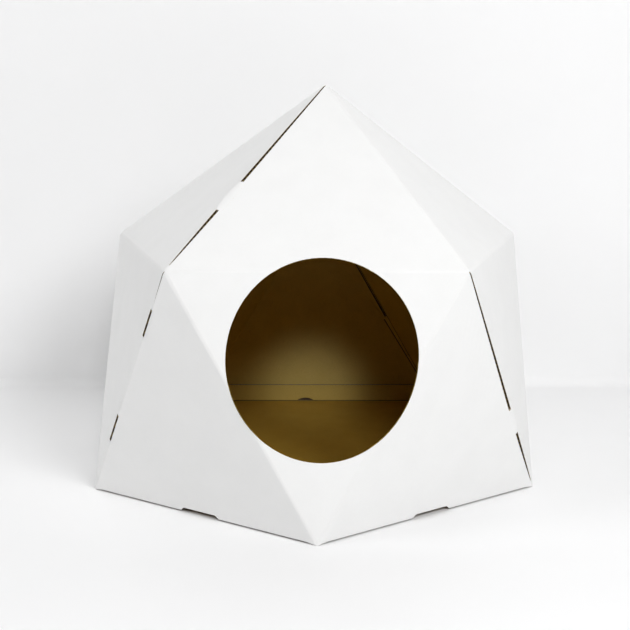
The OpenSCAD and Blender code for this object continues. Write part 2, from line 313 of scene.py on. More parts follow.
def loft(top: Sequence[Vector], bottom: Sequence[Vector]) -> bmesh.types.BMesh:
    """A closed block between two outlines of as many points.

    Args:
        top: Points of the first face.
        bottom: The matching points of the second face.

    Returns:
        The block.
    """
    bm = bmesh.new()
    face = bm.faces.new([bm.verts.new(p) for p in top])
    out = bmesh.ops.extrude_face_region(bm, geom=[face], use_keep_orig=True)
    moved = [v for v in out["geom"] if isinstance(v, bmesh.types.BMVert)]
    for vert in moved:
        nearest = min(range(len(top)), key=lambda k: (top[k] - vert.co).length)
        vert.co = bottom[nearest]
    bmesh.ops.recalc_face_normals(bm, faces=bm.faces[:])
    return bm


def cut(mesh: Mesh, cutters: Iterable[Mesh], operation: str = "DIFFERENCE") -> Mesh:
    """Cuts a closed mesh with others, one after the other.

    Args:
        mesh: The mesh that is cut.
        cutters: Closed meshes.
        operation: Boolean operation.

    Returns:
        The cut mesh.
    """
    for cutter in cutters:
        body = bpy.data.objects.new("cut_body", mesh)
        tool = bpy.data.objects.new("cut_tool", cutter)
        for obj in (body, tool):
            bpy.context.scene.collection.objects.link(obj)
        boolean = body.modifiers.new("cut", "BOOLEAN")
        boolean.object = tool
        boolean.operation = operation
        boolean.solver = "EXACT"
        graph = bpy.context.evaluated_depsgraph_get()
        mesh = bpy.data.meshes.new_from_object(body.evaluated_get(graph))
        for obj in (body, tool):
            bpy.data.objects.remove(obj)
    return mesh


def joined(meshes: Iterable[Mesh], name: str) -> Mesh:
    """Puts several meshes into one."""
    bm = bmesh.new()
    for mesh in meshes:
        bm.from_mesh(mesh)
    mesh = bpy.data.meshes.new(name)
    bm.to_mesh(mesh)
    bm.free()
    return mesh


def sharpen(mesh: Mesh, limit: float = math.radians(32)) -> None:
    """Marks every steep edge sharp, so that rounded folds shade by themselves."""
    bm = bmesh.new()
    bm.from_mesh(mesh)
    for edge in bm.edges:
        edge.smooth = len(edge.link_faces) == 2 and edge.calc_face_angle(math.pi) < limit
    bm.to_mesh(mesh)
    bm.free()


# Finishes


class NodeMaker:
    """Small helper that adds and links shader nodes in one tree."""

    def __init__(self, tree: Tree) -> None:
        """Keeps the tree."""
        self.tree = tree

    def add(self, kind: str, **values: object) -> bpy.types.Node:
        """Adds a node.

        Args:
            kind: Blender's node type.
            **values: Node properties, or input sockets where the key starts with in_.

        Returns:
            The new node.
        """
        node = self.tree.nodes.new(kind)
        for key, value in values.items():
            if not key.startswith("in_"):
                setattr(node, key, value)
        for key, value in values.items():
            if key.startswith("in_"):
                socket = node.inputs[int(key[3:])] if key[3:].isdigit() else node.inputs[key[3:].replace("_", " ")]
                if isinstance(value, bpy.types.NodeSocket):
                    self.tree.links.new(value, socket)
                else:
                    socket.default_value = value
        return node

    def math(self, operation: str, first: object, second: object = 0.0) -> bpy.types.NodeSocket:
        """A Math node's result."""
        return self.add("ShaderNodeMath", operation=operation, in_0=first, in_1=second).outputs[0]

    def blend(self, share: object, first: object, second: object) -> bpy.types.NodeSocket:
        """A colour mix's result."""
        node = self.add("ShaderNodeMix", data_type="RGBA")
        for index, value in ((0, share), (6, first), (7, second)):
            if isinstance(value, bpy.types.NodeSocket):
                self.tree.links.new(value, node.inputs[index])
            else:
                node.inputs[index].default_value = value
        return node.outputs[2]

    def ramp(self, value: object, low: float, high: float, to_low: float = 0.0, to_high: float = 1.0) -> bpy.types.NodeSocket:
        """A clamped Map Range node's result."""
        node = self.add("ShaderNodeMapRange", clamp=True, in_0=value)
        for index, number in enumerate((low, high, to_low, to_high), start=1):
            node.inputs[index].default_value = number
        return node.outputs[0]

    def noise(self, place: object, scale: float, detail: float = 2.0, rough: float = 0.5) -> bpy.types.NodeSocket:
        """A Noise Texture's value."""
        node = self.add("ShaderNodeTexNoise", in_Vector=place, in_Scale=scale, in_Detail=detail, in_Roughness=rough)
        return node.outputs[0]


def new_group(name: str, inputs: dict[str, str], outputs: dict[str, str]) -> tuple[Tree, NodeMaker, bpy.types.Node, bpy.types.Node]:
    """Starts a shader node group.

    Args:
        name: Name of the group.
        inputs: Socket types by input name.
        outputs: Socket types by output name.

    Returns:
        The group, its node maker, and its input and output nodes.
    """
    tree = bpy.data.node_groups.new(name, "ShaderNodeTree")
    for label, kind in inputs.items():
        tree.interface.new_socket(label, in_out="INPUT", socket_type=kind)
    for label, kind in outputs.items():
        tree.interface.new_socket(label, in_out="OUTPUT", socket_type=kind)
    maker = NodeMaker(tree)
    return tree, maker, maker.add("NodeGroupInput"), maker.add("NodeGroupOutput")


VECTOR, FLOAT, COLOUR = "NodeSocketVector", "NodeSocketFloat", "NodeSocketColor"


def fibre_group() -> Tree:
    """Paper fibre: a cloudy mottle, short fibres that lie along the sheet, and their height."""
    tree, make, given, put = new_group(
        "paper_fibre", {"Board": VECTOR, "Object": VECTOR}, {"Cloud": FLOAT, "Fibre": FLOAT, "Fleck": FLOAT, "Height": FLOAT})
    long = make.add("ShaderNodeMapping", in_Vector=given.outputs["Board"], in_Scale=(1.0, 0.22, 1.0)).outputs[0]
    wide = make.add("ShaderNodeMapping", in_Vector=given.outputs["Board"], in_Scale=(0.3, 1.0, 1.0)).outputs[0]
    cloud = make.noise(given.outputs["Object"], 28.0, 4.0, 0.6)
    fibre = make.noise(long, 1500.0, 3.0, 0.6)
    cross = make.noise(wide, 1100.0, 2.0, 0.55)
    both = make.math("MULTIPLY", make.math("ADD", fibre, cross), 0.5)
    fleck = make.ramp(make.noise(long, 520.0, 2.0, 0.7), 0.62, 0.74)
    link = tree.links.new
    link(cloud, put.inputs["Cloud"])
    link(both, put.inputs["Fibre"])
    link(fleck, put.inputs["Fleck"])
    link(make.math("ADD", both, make.math("MULTIPLY", cloud, 0.25)), put.inputs["Height"])
    return tree


def washboard_group() -> Tree:
    """The flutes' faint print-through on a liner, as a height and a mask."""
    tree, make, given, put = new_group("washboard", {"Board": VECTOR, "Object": VECTOR, "Pitch": FLOAT}, {"Wave": FLOAT})
    split = make.add("ShaderNodeSeparateXYZ", in_Vector=given.outputs["Board"])
    turns = make.math("DIVIDE", split.outputs[0], given.outputs["Pitch"])
    wave = make.math("COSINE", make.math("MULTIPLY", turns, 2 * math.pi))
    uneven = make.ramp(make.noise(given.outputs["Object"], 9.0, 2.0, 0.5), 0.35, 0.7)
    tree.links.new(make.math("MULTIPLY", wave, uneven), put.inputs["Wave"])
    return tree


@dataclass(frozen=True)
class PaperFinish:
    """One paper surface: its two tones, its fibre and its roughness."""

    name: str
    light: tuple[float, float, float]
    dark: tuple[float, float, float]
    fleck: tuple[float, float, float]
    cloud_share: float
    fibre_share: float
    fleck_share: float
    roughness: tuple[float, float]
    bump: float
    wave_bump: float
    scuff: tuple[float, float, float]
    scuff_share: float
    gloss: float = 0.3

    def build(self, fibre: Tree, washboard: Tree, pitch: float) -> bpy.types.Material:
        """Makes the material.

        Args:
            fibre: The paper fibre group.
            washboard: The washboard group.
            pitch: Distance between two flutes.

        Returns:
            The material.
        """
        material = bpy.data.materials.new(self.name)
        material.use_nodes = True
        tree = material.node_tree
        make = NodeMaker(tree)
        shader = tree.nodes["Principled BSDF"]
        board = make.add("ShaderNodeUVMap", uv_map="board").outputs[0]
        place = make.add("ShaderNodeTexCoord").outputs["Object"]
        paper = make.add("ShaderNodeGroup", node_tree=fibre, in_Board=board, in_Object=place)
        waves = make.add("ShaderNodeGroup", node_tree=washboard, in_Board=board, in_Object=place, in_Pitch=pitch)
        fold = make.add("ShaderNodeAttribute", attribute_name="fold").outputs["Fac"]
        cloud = make.ramp(paper.outputs["Cloud"], 0.3, 0.7, 0.0, self.cloud_share)
        grain = make.ramp(paper.outputs["Fibre"], 0.35, 0.65, 0.0, self.fibre_share)
        tone = make.math("ADD", cloud, grain)
        base = make.blend(tone, (*self.light, 1.0), (*self.dark, 1.0))
        base = make.blend(make.math("MULTIPLY", paper.outputs["Fleck"], self.fleck_share), base, (*self.fleck, 1.0))
        worn = make.ramp(make.noise(place, 160.0, 5.0, 0.7), 0.45, 0.68)
        base = make.blend(make.math("MULTIPLY", make.math("MULTIPLY", worn, fold), self.scuff_share), base, (*self.scuff, 1.0))
        tree.links.new(base, shader.inputs["Base Color"])
        tree.links.new(make.ramp(paper.outputs["Height"], 0.4, 0.8, *self.roughness), shader.inputs["Roughness"])
        height = make.math("ADD", make.math("MULTIPLY", paper.outputs["Height"], self.bump),
                           make.math("MULTIPLY", waves.outputs["Wave"], self.wave_bump))
        bump = make.add("ShaderNodeBump", in_Height=height, in_Strength=1.0, in_Distance=1.0)
        tree.links.new(bump.outputs[0], shader.inputs["Normal"])
        shader.inputs["Specular IOR Level"].default_value = self.gloss
        return material


WHITE_LINER = PaperFinish("white_liner", (0.83, 0.83, 0.825), (0.775, 0.775, 0.77), (0.70, 0.68, 0.64),
                          0.35, 0.25, 0.06, (0.55, 0.72), 0.00002, 0.000012, (0.78, 0.77, 0.75), 0.12)
KRAFT_LINER = PaperFinish("kraft_liner", (0.61, 0.425, 0.09), (0.50, 0.345, 0.068), (0.32, 0.195, 0.037),
                          0.45, 0.55, 0.35, (0.55, 0.72), 0.00005, 0.00002, (0.62, 0.45, 0.16), 0.5, 0.4)
# Flute paper with painted shade: its kraft brown is darkened to near black, so that slits, grooves, recesses and the
# lifted foot read as deep shade
FLUTE_PAPER_SHADE = PaperFinish("flute_paper_painted_shade", (0.12, 0.083, 0.045), (0.085, 0.058, 0.03), (0.06, 0.04, 0.02),
                          0.4, 0.6, 0.4, (0.8, 0.95), 0.00005, 0.0, (0.17, 0.12, 0.06), 0.3)
CUT_EDGE = PaperFinish("cut_paper_edge", (0.66, 0.58, 0.46), (0.50, 0.40, 0.28), (0.36, 0.25, 0.15),
                       0.4, 0.6, 0.3, (0.8, 0.95), 0.00004, 0.0, (0.6, 0.5, 0.38), 0.3)
# Kraft of the floor with painted shade: a darker, more saturated copy of the kraft liner for the floor's bounce-lit
# look, while the flaps keep the plain kraft
FLOOR_LINER_SHADE = PaperFinish("kraft_floor_liner_painted_shade", (0.60, 0.37, 0.055), (0.49, 0.30, 0.04), (0.31, 0.17, 0.025),
                          0.45, 0.55, 0.35, (0.6, 0.78), 0.00005, 0.00002, (0.62, 0.43, 0.12), 0.5, 0.2)

PLY_FINISH: dict[Ply, PaperFinish] = {
    Ply.WHITE: WHITE_LINER, Ply.KRAFT: KRAFT_LINER, Ply.FLUTE_SHADE: FLUTE_PAPER_SHADE, Ply.EDGE: CUT_EDGE,
    Ply.FLOOR: FLOOR_LINER_SHADE}


def make_finishes(pitch: float) -> None:
    """Builds the node groups and every paper material.

    Args:
        pitch: Distance between two flutes.
    """
    fibre, washboard = fibre_group(), washboard_group()
    for finish in PLY_FINISH.values():
        finish.build(fibre, washboard, pitch)


# Boards


@dataclass
class BoardMake:
    """Make-up of the single-wall board."""

    thick: float = 3.0 * MM
    liner: float = 0.38 * MM
    pitch: float = 6.4 * MM
    core_paper: float = 0.28 * MM
    steps: int = 8
    roll: float = 2.6 * MM
    roll_steps: int = 8
    overlap: float = 0.03 * MM


class FluteSheet:
    """The fluted core of a board, as a wavy sheet with its own thickness."""

    def __init__(self, make: BoardMake) -> None:
        """Keeps the board's make-up."""
        self.make = make

    def build(self, origin: Vector, flutes: Vector, facing: Vector, points: Sequence[Vector]) -> Mesh:
        """Makes a sheet that covers some points.

        Args:
            origin: A point on the board's outer face.
            flutes: Direction of the flutes.
            facing: Normal of the outer face.
            points: Points that the sheet reaches past.

        Returns:
            The closed wavy sheet.
        """
        across = flutes.cross(facing).normalized()
        spread = [(p - origin).dot(across) for p in points]
        reach = [(p - origin).dot(flutes) for p in points]
        step = self.make.pitch / self.make.steps
        low = math.floor(min(spread) / step - 1) * step
        count = math.ceil((max(spread) - low) / step) + 1
        bm = bmesh.new()
        bmesh.ops.create_grid(bm, x_segments=count, y_segments=1, size=0.5)
        wide, tall = count * step, max(reach) - min(reach) + self.make.pitch
        middle = -self.make.thick / 2
        swing = self.make.thick / 2 - self.make.liner - self.make.core_paper / 2 + self.make.overlap
        for vert in bm.verts:
            x = low + (vert.co.x + 0.5) * wide
            y = min(reach) - self.make.pitch / 2 + (vert.co.y + 0.5) * tall
            z = middle + swing * math.cos(2 * math.pi * x / self.make.pitch)
            vert.co = origin + across * x + flutes * y + facing * z
        out = bmesh.ops.extrude_face_region(bm, geom=bm.faces[:], use_keep_orig=True)
        moved = [v for v in out["geom"] if isinstance(v, bmesh.types.BMVert)]
        for vert in bm.verts:
            vert.co += facing * self.make.core_paper / 2
        bmesh.ops.translate(bm, verts=moved, vec=-facing * self.make.core_paper)
        # The flutes take the flute paper painted near black as shade
        paint(bm, Ply.FLUTE_SHADE)
        return to_mesh(bm, "flutes")


def finish_piece(meshes: Iterable[Mesh], name: str, origin: Vector, flutes: Vector, facing: Vector) -> Obj:
    """Joins a board's plies into one piece with board coordinates and its finishes.

    Args:
        meshes: The plies.
        name: Name of the piece.
        origin: A point on the board's outer face.
        flutes: Direction of the flutes.
        facing: Normal of the outer face.

    Returns:
        The piece, linked to the scene.
    """
    mesh = joined(meshes, name)
    sharpen(mesh)
    across = flutes.cross(facing).normalized()
    layer = mesh.uv_layers.new(name="board")
    for loop in mesh.loops:
        offset = mesh.vertices[loop.vertex_index].co - origin
        layer.data[loop.index].uv = (offset.dot(across), offset.dot(flutes))
    give_plies(mesh)
    piece = bpy.data.objects.new(name, mesh)
    bpy.context.scene.collection.objects.link(piece)
    return piece


class FoldedSkin:
    """The shell's outer face as one surface, rolled over every fold and parted into panels."""

    def __init__(self, make: BoardMake) -> None:
        """Builds and rolls the surface.

        Args:
            make: The board's make-up.
        """
        self.make = make
        bm = bmesh.new()
        points = {name: bm.verts.new(place) for name, place in CORNERS.items()}
        for panel in PANELS.values():
            bm.faces.new([points[c] for c in panel.corners])
        folds = [e for e in bm.edges if len(e.link_faces) == 2]
        bmesh.ops.bevel(bm, geom=folds, offset=make.roll, offset_type="OFFSET", segments=make.roll_steps,
                        profile=0.5, affect="EDGES", material=-1, clamp_overlap=True)
        self.surface = bm

    def patch(self, panel: Panel) -> bmesh.types.BMesh:
        """Copies the part of the surface that belongs to one panel.

        Args:
            panel: The panel.

        Returns:
            Its flat face and the near halves of its rolled edges.
        """
        bm = self.surface.copy()
        facings = {p.name: p.facing() for p in PANELS.values()}
        others = [f for f in bm.faces if max(facings, key=lambda n: facings[n].dot(f.normal)) != panel.name]
        bmesh.ops.delete(bm, geom=others, context="FACES")
        return bm


class ShellPanel:
    """One panel of the shell: white liner, flutes and brown liner, with every cut through all three."""

    def __init__(self, panel: Panel, make: BoardMake, skin: FoldedSkin) -> None:
        """Keeps the panel, the board's make-up and the rolled skin."""
        self.panel = panel
        self.make = make
        self.skin = skin

    def inset(self, depth: float, gap: float, raw_gap: float) -> list[Vector]:
        """The panel's outline at a depth, drawn in along the planes that halve its folds.

        Args:
            depth: Depth below the outer face.
            gap: Extra distance from those planes at a fold.
            raw_gap: The same at an open seam.

        Returns:
            Three points.
        """
        points, facing = self.panel.points(), self.panel.facing()
        lines: list[tuple[Vector, Vector]] = []
        for k, edge in enumerate(self.panel.edges()):
            start, end = points[k], points[(k + 1) % 3]
            other = neighbour(self.panel, edge)
            raw = any({seam.start, seam.end} == set(edge) and seam.open_slit and not seam.shut for seam in SEAMS)
            move = depth * math.tan(half_fold(self.panel, other)) + (raw_gap if raw else gap if other else 0.0)
            lines.append((start + self.panel.into(start, end) * move, (end - start).normalized()))
        result = []
        for k in range(3):
            (a, u), (b, v) = lines[k - 1], lines[k]
            normal = v.cross(facing)
            result.append(a + u * ((b - a).dot(normal) / u.dot(normal)) - facing * depth)
        return result

    def outer_liner(self) -> Mesh:
        """The white liner, extruded from its part of the skin."""
        bm = self.skin.patch(self.panel)
        fold = bm.faces.layers.float.new("fold")
        facing = self.panel.facing()
        for face in bm.faces:
            rolled = face.normal.dot(facing) < 0.99999
            face[fold] = 1.0 if rolled else 0.0
            face.smooth = rolled
            face.material_index = Ply.WHITE.value
        top = set(bm.faces)
        out = bmesh.ops.extrude_face_region(bm, geom=bm.faces[:], use_keep_orig=True)
        moved = [v for v in out["geom"] if isinstance(v, bmesh.types.BMVert)]
        bmesh.ops.translate(bm, verts=moved, vec=-facing * self.make.liner)
        bm.normal_update()
        for face in bm.faces:
            if face not in top:
                # Cut sides take the cream edge; the underside takes the flute paper painted near black as shade
                under = abs(face.normal.dot(facing)) > 0.8
                face.material_index = (Ply.FLUTE_SHADE if under else Ply.EDGE).value
                face[fold] = 0.0
                face.smooth = False
        return to_mesh(bm, "outer_liner")

    def inner_liner(self) -> Mesh:
        """The brown liner."""
        depth = self.make.thick
        lap = -self.make.overlap
        bm = loft(self.inset(depth - self.make.liner, lap, lap), self.inset(depth, lap, lap))
        paint(bm, Ply.KRAFT)
        return to_mesh(bm, "inner_liner")

    def core(self) -> Mesh:
        """The flutes, trimmed to the panel."""
        sheet = FluteSheet(self.make).build(
            self.panel.points()[0], flute_direction(self.panel), self.panel.facing(), self.panel.points())
        room, fold_room, seam_room = 0.1 * MM, 2.2 * MM, 0.5 * MM
        top, bottom = (self.inset(d, fold_room, seam_room) for d in (room, self.make.thick - room))
        block = to_mesh(loft(top, bottom), "core_block")
        return cut(sheet, [block], "INTERSECT")

    def build(self, cutters: Sequence[Mesh]) -> Obj:
        """Makes the piece.

        Args:
            cutters: What is cut out of the board.

        Returns:
            The piece, riding on its body in place of its node.
        """
        outer, core, inner = (cut(ply, cutters) for ply in (self.outer_liner(), self.core(), self.inner_liner()))
        # The cut faces of the core and the brown liner are painted near black as shade, so the slits look deep
        plies = [outer, repaint(core, Ply.EDGE, Ply.FLUTE_SHADE), repaint(inner, Ply.EDGE, Ply.FLUTE_SHADE)]
        panel = self.panel
        piece = finish_piece(plies, panel.name + "_board", panel.points()[0], flute_direction(panel), panel.facing())
        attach(piece, panel.body)
        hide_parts(*(panel.nodes or (panel.name,)))
        return piece


# Cuts in the shell


@dataclass
class EntryHole:
    """The oval entry across the front panel and its folds, which looks whole from the front."""

    wide: float = 196.6 * MM
    tall: float = 209.7 * MM
    drop: float = 90.7 * MM
    shift: float = 5.1 * MM
    uneven: tuple[tuple[int, float], ...] = ((2, -0.0091), (3, -0.0057), (4, -0.0026))
    facets: int = 128
    room: float = 60 * MM
    square: float = 0.25
    sight: Vector = field(default_factory=lambda: Vector((0.0, -1.6, 0.57)))

    def cutter(self, panel: Panel) -> Mesh:
        """The oval as a cutter for one panel.

        Args:
            panel: The front panel or one that shares a fold with it.

        Returns:
            The closed cutter.
        """
        front = PANELS["front"]
        a, b, _ = front.points()
        right, down = (a - b).normalized(), front.into(a, b)
        middle = (a + b) / 2 + right * self.shift + down * self.drop
        facing, level = panel.facing(), (panel.points()[0] - self.sight).dot(panel.facing())
        outline = []
        for k in range(self.facets):
            turn = 2 * math.pi * k / self.facets
            swell = 1 + sum(share * math.sin(waves * turn) for waves, share in self.uneven)
            x, y = self.wide / 2 * math.cos(turn) * swell, self.tall / 2 * math.sin(turn) * swell
            line = middle + right * x + down * y - self.sight
            outline.append(self.sight + line * (level / line.dot(facing)))
        gaze = (middle - self.sight).normalized()
        through = (gaze * (1 - self.square) - facing * self.square).normalized()
        bm = prism([p - through * self.room for p in outline], through * 2 * self.room)
        paint(bm, Ply.KRAFT)
        return to_mesh(bm, "hole_cutter")


@dataclass
class SeamCutter:
    """Slits and notches along the seams, cut square through the board."""

    make: BoardMake
    room: float = 20 * MM
    closed_end: float = 0.03
    run_out: float = 0.1
    pinch: float = 0.5
    notch: float = 3.6 * MM
    slot_back: float = 1.3 * MM
    steps: int = 10
    crack: tuple[tuple[float, float], ...] = ((-0.1, 1.5 * MM), (0.03, 1.4 * MM), (0.15, 0.1 * MM))
    spare: float = 1.3 * MM
    beside_root: tuple[tuple[float, float], ...] = (
        (0.06, 1.3 * MM), (0.5, 0.9 * MM), (0.97, 0.15 * MM), (0.97, 0.8 * MM), (0.6, 1.7 * MM), (0.06, 2.2 * MM))
    beside_wall: tuple[tuple[float, float], ...] = (
        (0.58, 4.0 * MM), (0.58, 5.2 * MM), (0.97, 1.3 * MM), (0.97, 0.5 * MM))

    def block(self, panel: Panel, seam: Seam, course: Sequence[tuple[float, float]], ply: Ply = Ply.EDGE) -> Mesh:
        """A cutter past the seam on one panel.

        Args:
            panel: The panel that is cut.
            seam: The seam.
            course: Shares of the seam and how far the cut stands back there.
            ply: Finish of the outer liner's cut.

        Returns:
            The closed cutter.
        """
        start, end = CORNERS[seam.start], CORNERS[seam.end]
        into, up = panel.into(start, end), panel.facing() * self.room
        outline = [start + seam.run() * share - into * self.room for share in (course[-1][0], course[0][0])]
        outline += [start + seam.run() * share + into * inset for share, inset in course]
        bm = prism([p + up for p in outline], -2 * up)
        paint(bm, ply)
        return to_mesh(bm, "seam_cutter")

    def slit(self, touch: float, gape: float, first: float, last: float, wide_last: bool) -> list[tuple[float, float]]:
        """Course of one slit, pinched at its corner and wide at its tab.

        Args:
            touch: How far back the board's inner edge just meets the other board.
            gape: How much further it stands back at the tab.
            first: Where it starts, as a share of the seam.
            last: Where it ends.
            wide_last: Whether the tab is at its end.

        Returns:
            Shares and insets.
        """
        course = []
        for k in range(self.steps + 1):
            share = k / self.steps
            wide = share if wide_last else 1 - share
            course.append((first + (last - first) * share, touch * (self.pinch + (1 - self.pinch) * wide ** 0.5) + gape * wide ** 0.7))
        return course

    def lens(self, first: float, last: float, end_inset: float, deepest: float) -> list[tuple[float, float]]:
        """Course of a notch that is deepest at its middle.

        Args:
            first: Where it starts, as a share of the seam.
            last: Where it ends.
            end_inset: How deep it is at both ends.
            deepest: How deep it is at its middle.

        Returns:
            Shares and insets.
        """
        course = []
        for k in range(self.steps + 1):
            share = k / self.steps
            course.append((first + (last - first) * share, end_inset + (deepest - end_inset) * math.sin(math.pi * share) ** 0.6))
        return course

    def groove(self, panel: Panel, seam: Seam, course: Sequence[tuple[float, float]]) -> Mesh:
        """A groove beside the seam in the inner face, painted near black as shade so it reads as a dark line, which
        leaves the outer liner whole.

        Args:
            panel: The panel that is cut.
            seam: The seam.
            course: Shares of the seam and distances from the board's inner edge, round the line.

        Returns:
            The closed cutter.
        """
        start, end = CORNERS[seam.start], CORNERS[seam.end]
        into, facing = panel.into(start, end), panel.facing()
        edge = self.make.thick * math.tan(half_fold(PANELS[seam.gives], PANELS[seam.takes]))
        floor = -facing * self.spare
        bm = prism([start + seam.run() * share + into * (edge + away) + floor for share, away in course], -facing * self.room)
        # The groove's faces are painted near black as shade
        paint(bm, Ply.FLUTE_SHADE)
        return to_mesh(bm, "groove_cutter")

    def cutters(self, panel: Panel) -> list[Mesh]:
        """Every slit and notch of one panel.

        Args:
            panel: The panel.

        Returns:
            The closed cutters.
        """
        result = []
        for seam in SEAMS:
            if panel.name not in (seam.gives, seam.takes):
                continue
            gives = panel.name == seam.gives
            half = half_fold(PANELS[seam.gives], PANELS[seam.takes])
            touch = self.make.thick * math.tan(half)
            if seam.shut:
                result.append(self.groove(panel, seam, self.beside_root if gives else self.beside_wall))
            elif seam.open_slit:
                _, first, last = seam.tabs[0]
                upper = self.slit(touch, seam.gape, -self.run_out, first, True)
                lower = self.slit(touch, seam.gape, last, 1 - self.closed_end, False)
                middle = self.lens(first, last, touch + seam.gape, self.notch + seam.bulge * math.cos(2 * half))
                runs = [upper, lower] if gives else [upper + middle[1:-1] + lower]
                result += [self.block(panel, seam, run) for run in runs]
            else:
                for _, first, last in seam.tabs:
                    inset = self.slot_back if gives else self.notch
                    result.append(self.block(panel, seam, [(first, inset), (last, inset)]))
                if not gives:
                    # The crack near the seam's top is painted near black as shade
                    result.append(self.block(panel, seam, self.crack, Ply.FLUTE_SHADE))
        return result


@dataclass
class FootTrim:
    """Lifts the foot of a wall a little off the floor between its corners."""

    bow: float = 1.9 * MM
    rise: float = 24.0
    steps: int = 48
    room: float = 20 * MM

    def cutter(self, panel: Panel) -> Mesh:
        """The lift as a cutter for one wall."""
        a, b, _ = panel.points()
        up, facing = panel.into(a, b), panel.facing() * self.room
        outline = [b - up * self.room + (b - a), a - up * self.room - (b - a), a - (b - a)]
        for k in range(self.steps + 1):
            share = k / self.steps
            outline.append(a + (b - a) * share + up * (self.bow * min(1.0, self.rise * share, self.rise * (1 - share))))
        outline.append(b + (b - a))
        bm = prism([p + facing for p in outline], -2 * facing)
        # The lifted foot's cut faces are painted near black as shade, for the dark line under the wall
        paint(bm, Ply.FLUTE_SHADE)
        return to_mesh(bm, "foot_cutter")


@dataclass
class FootNotch:
    """The low notch in the foot of each front wall."""

    top: float = 43 * MM
    foot: float = 54 * MM
    tall: float = 5.6 * MM
    room: float = 30 * MM
    round_steps: int = 4
    round_size: float = 2.0 * MM

    def cutter(self, panel: Panel) -> Mesh:
        """The notch as a cutter for one wall."""
        a, b, _ = panel.points()
        along, up, facing = (b - a).normalized(), panel.into(a, b), panel.facing()
        middle = (a + b) / 2
        shape = [(-self.foot, -self.tall), (self.foot, -self.tall), (self.foot, 0), (self.top, self.tall),
                 (-self.top, self.tall), (-self.foot, 0)]
        bm = prism([middle + along * (x / 2) + up * y + facing * self.room for x, y in shape], facing * -2 * self.room)
        crowns = [e for e in bm.edges
                  if all((v.co - middle).dot(up) > self.tall / 2 for v in e.verts)
                  and abs((e.verts[1].co - e.verts[0].co).normalized().dot(facing)) > 0.9]
        bmesh.ops.bevel(bm, geom=crowns, offset=self.round_size, offset_type="OFFSET", segments=self.round_steps,
                        profile=0.5, affect="EDGES", material=-1)
        paint(bm, Ply.EDGE)
        return to_mesh(bm, "notch_cutter")


class Shell:
    """The folded shell: fifteen panels cut from one sheet."""

    def __init__(self, make: BoardMake) -> None:
        """Prepares the skin and the cuts."""
        self.make = make
        self.skin = FoldedSkin(make)
        self.hole = EntryHole()
        self.seams = SeamCutter(make)
        self.notch = FootNotch()
        self.foot = FootTrim()

    def build(self) -> list[Obj]:
        """Makes every panel.

        Returns:
            The pieces.
        """
        pieces = []
        for panel in PANELS.values():
            cutters = self.seams.cutters(panel)
            if panel.name in ("front", "roof_front", "wall_front_left", "wall_front_right"):
                cutters.append(self.hole.cutter(panel))
            if panel.name in ("wall_front_left", "wall_front_right"):
                cutters.append(self.notch.cutter(panel))
            if panel.name.startswith("wall"):
                cutters.append(self.foot.cutter(panel))
            if panel.name == "wall_back":
                cutters.append(FloorTray(self.make).moon(1.2 * self.make.liner, 2 * self.make.thick))
            piece = ShellPanel(panel, self.make, self.skin).build(cutters)
            LOG.info("panel %s: %d faces", piece.name, len(piece.data.polygons))
            pieces.append(piece)
        self.skin.surface.free()
        return pieces


